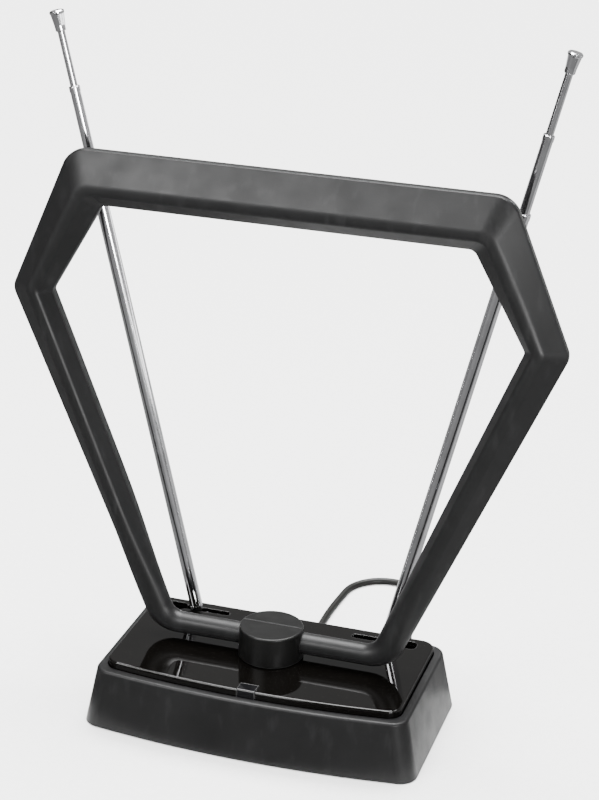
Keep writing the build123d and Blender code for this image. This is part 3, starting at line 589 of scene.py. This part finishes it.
# ---- floor and light ---------------------------------------------------------------------

FLOOR_SIZE = 14.0
CARD_HEIGHT = 0.5 * MM
WORLD_STRENGTH = 0.5
CEILING_STRENGTH = 15.0
CEILING_SOFTNESS = math.radians(50)
CEILING_LEAN = math.radians(-12)


def flat_sheet(name, size, place_at, aim=None):
    """A square sheet, level or facing a point."""
    mesh = bmesh.new()
    bmesh.ops.create_grid(mesh, x_segments=1, y_segments=1, size=size / 2)
    data = bpy.data.meshes.new(name)
    mesh.to_mesh(data)
    mesh.free()
    obj = bpy.data.objects.new(name, data)
    obj.location = place_at
    if aim is not None:
        obj.rotation_euler = (Vector(aim) - Vector(place_at)).to_track_quat("Z", "Y").to_euler()
    bpy.context.scene.collection.objects.link(obj)
    return obj


def make_floor():
    floor = flat_sheet("floor", FLOOR_SIZE, (0, 0, 0))
    material, tree, shader = new_material("floor_paper", (0.86, 0.86, 0.855), 0.75)
    shader.inputs["Specular IOR Level"].default_value = 0.15
    fibres = remap(tree, noise(tree, 4 * MM, 4), (0.4, 0.6), (0, 1))
    paper = tint(tree, fibres, (0.85, 0.85, 0.845), (0.87, 0.87, 0.865))
    tree.links.new(paper, shader.inputs["Base Color"])
    floor.data.materials.append(material)


def reflected_card(name, width, depth, place_at, aim, shade):
    """A card seen only in reflections, as the unlit parts of a studio are."""
    card = flat_sheet(name, 1.0, place_at, aim)
    card.scale = (width, depth, 1)
    material = new_material(name, (shade, shade, shade), 0.9)[0]
    card.data.materials.append(material)
    card.visible_camera = False
    card.visible_diffuse = False
    card.visible_shadow = False


def reflected_floor(name, x0, x1, y0, y1, shade):
    """A level card just over the floor, between two X and two Y values; seen only in reflections, it is
    painted shade on the floor's reflection.
    """
    centre = ((x0 + x1) / 2, (y0 + y1) / 2, CARD_HEIGHT)
    reflected_card(name, x1 - x0, y1 - y0, centre, None, shade)


def make_cards():
    reflected_card("unlit_front", 7.0, 4.4, (-0.8, -2.6, 1.6), (-0.2, 0, 1.0), 0.012)
    reflected_card("unlit_left", 4.0, 2.6, (-2.4, 0.2, 0.9), (0, 0.2, 0.9), 0.012)
    # The floor cards paint shade into the floor's reflection: darker in front and on the left, grey behind and
    # on the right, while the camera sees the floor evenly lit.
    reflected_floor("front_floor_painted_shade", -2.6, 2.6, -2.6, -0.055, 0.015)
    reflected_floor("left_floor_painted_shade", -2.6, -0.11, -0.055, 1.2, 0.03)
    reflected_floor("rear_floor_painted_shade", -2.6, 0.11, 1.2, 3.0, 0.22)
    reflected_floor("behind_floor_painted_shade", -0.11, 0.11, 0.06, 1.2, 0.22)
    reflected_floor("right_floor_painted_shade", 0.11, 2.6, -0.055, 3.0, 0.09)


def softbox(name, place_at, aim, width, height, radiance):
    """A rectangular light facing a point, as bright per area as the radiance says."""
    data = bpy.data.lights.new(name, "AREA")
    data.shape = "RECTANGLE"
    data.size = width
    data.size_y = height
    data.energy = radiance * math.pi * width * height
    lamp = bpy.data.objects.new(name, data)
    lamp.location = place_at
    lamp.rotation_euler = (Vector(aim) - Vector(place_at)).to_track_quat("-Z", "Y").to_euler()
    bpy.context.scene.collection.objects.link(lamp)


def make_light():
    world = bpy.data.worlds.new("studio")
    world.use_nodes = True
    background = world.node_tree.nodes["Background"]
    background.inputs["Color"].default_value = (1, 1, 1, 1)
    background.inputs["Strength"].default_value = WORLD_STRENGTH
    bpy.context.scene.world = world
    sun = bpy.data.lights.new("ceiling", "SUN")
    sun.energy = CEILING_STRENGTH
    sun.angle = CEILING_SOFTNESS
    lamp = bpy.data.objects.new("ceiling", sun)
    lamp.rotation_euler = (CEILING_LEAN, 0, 0)
    bpy.context.scene.collection.objects.link(lamp)
    softbox("above_front", (-0.8, -1.5, 1.35), (0, 0, 0.25), 1.1, 0.5, 26.0)
    softbox("right_side", (1.35, -1.7, 0.40), (0.1, 0, 0.25), 0.7, 0.6, 34.0)
    softbox("left_front", (-1.3, -1.6, 0.7), (0, 0, 0.1), 0.2, 1.0, 14.0)


make_camera()
make_cord()
dress_cad_nodes()
make_loop()
make_floor()
make_cards()
make_light()
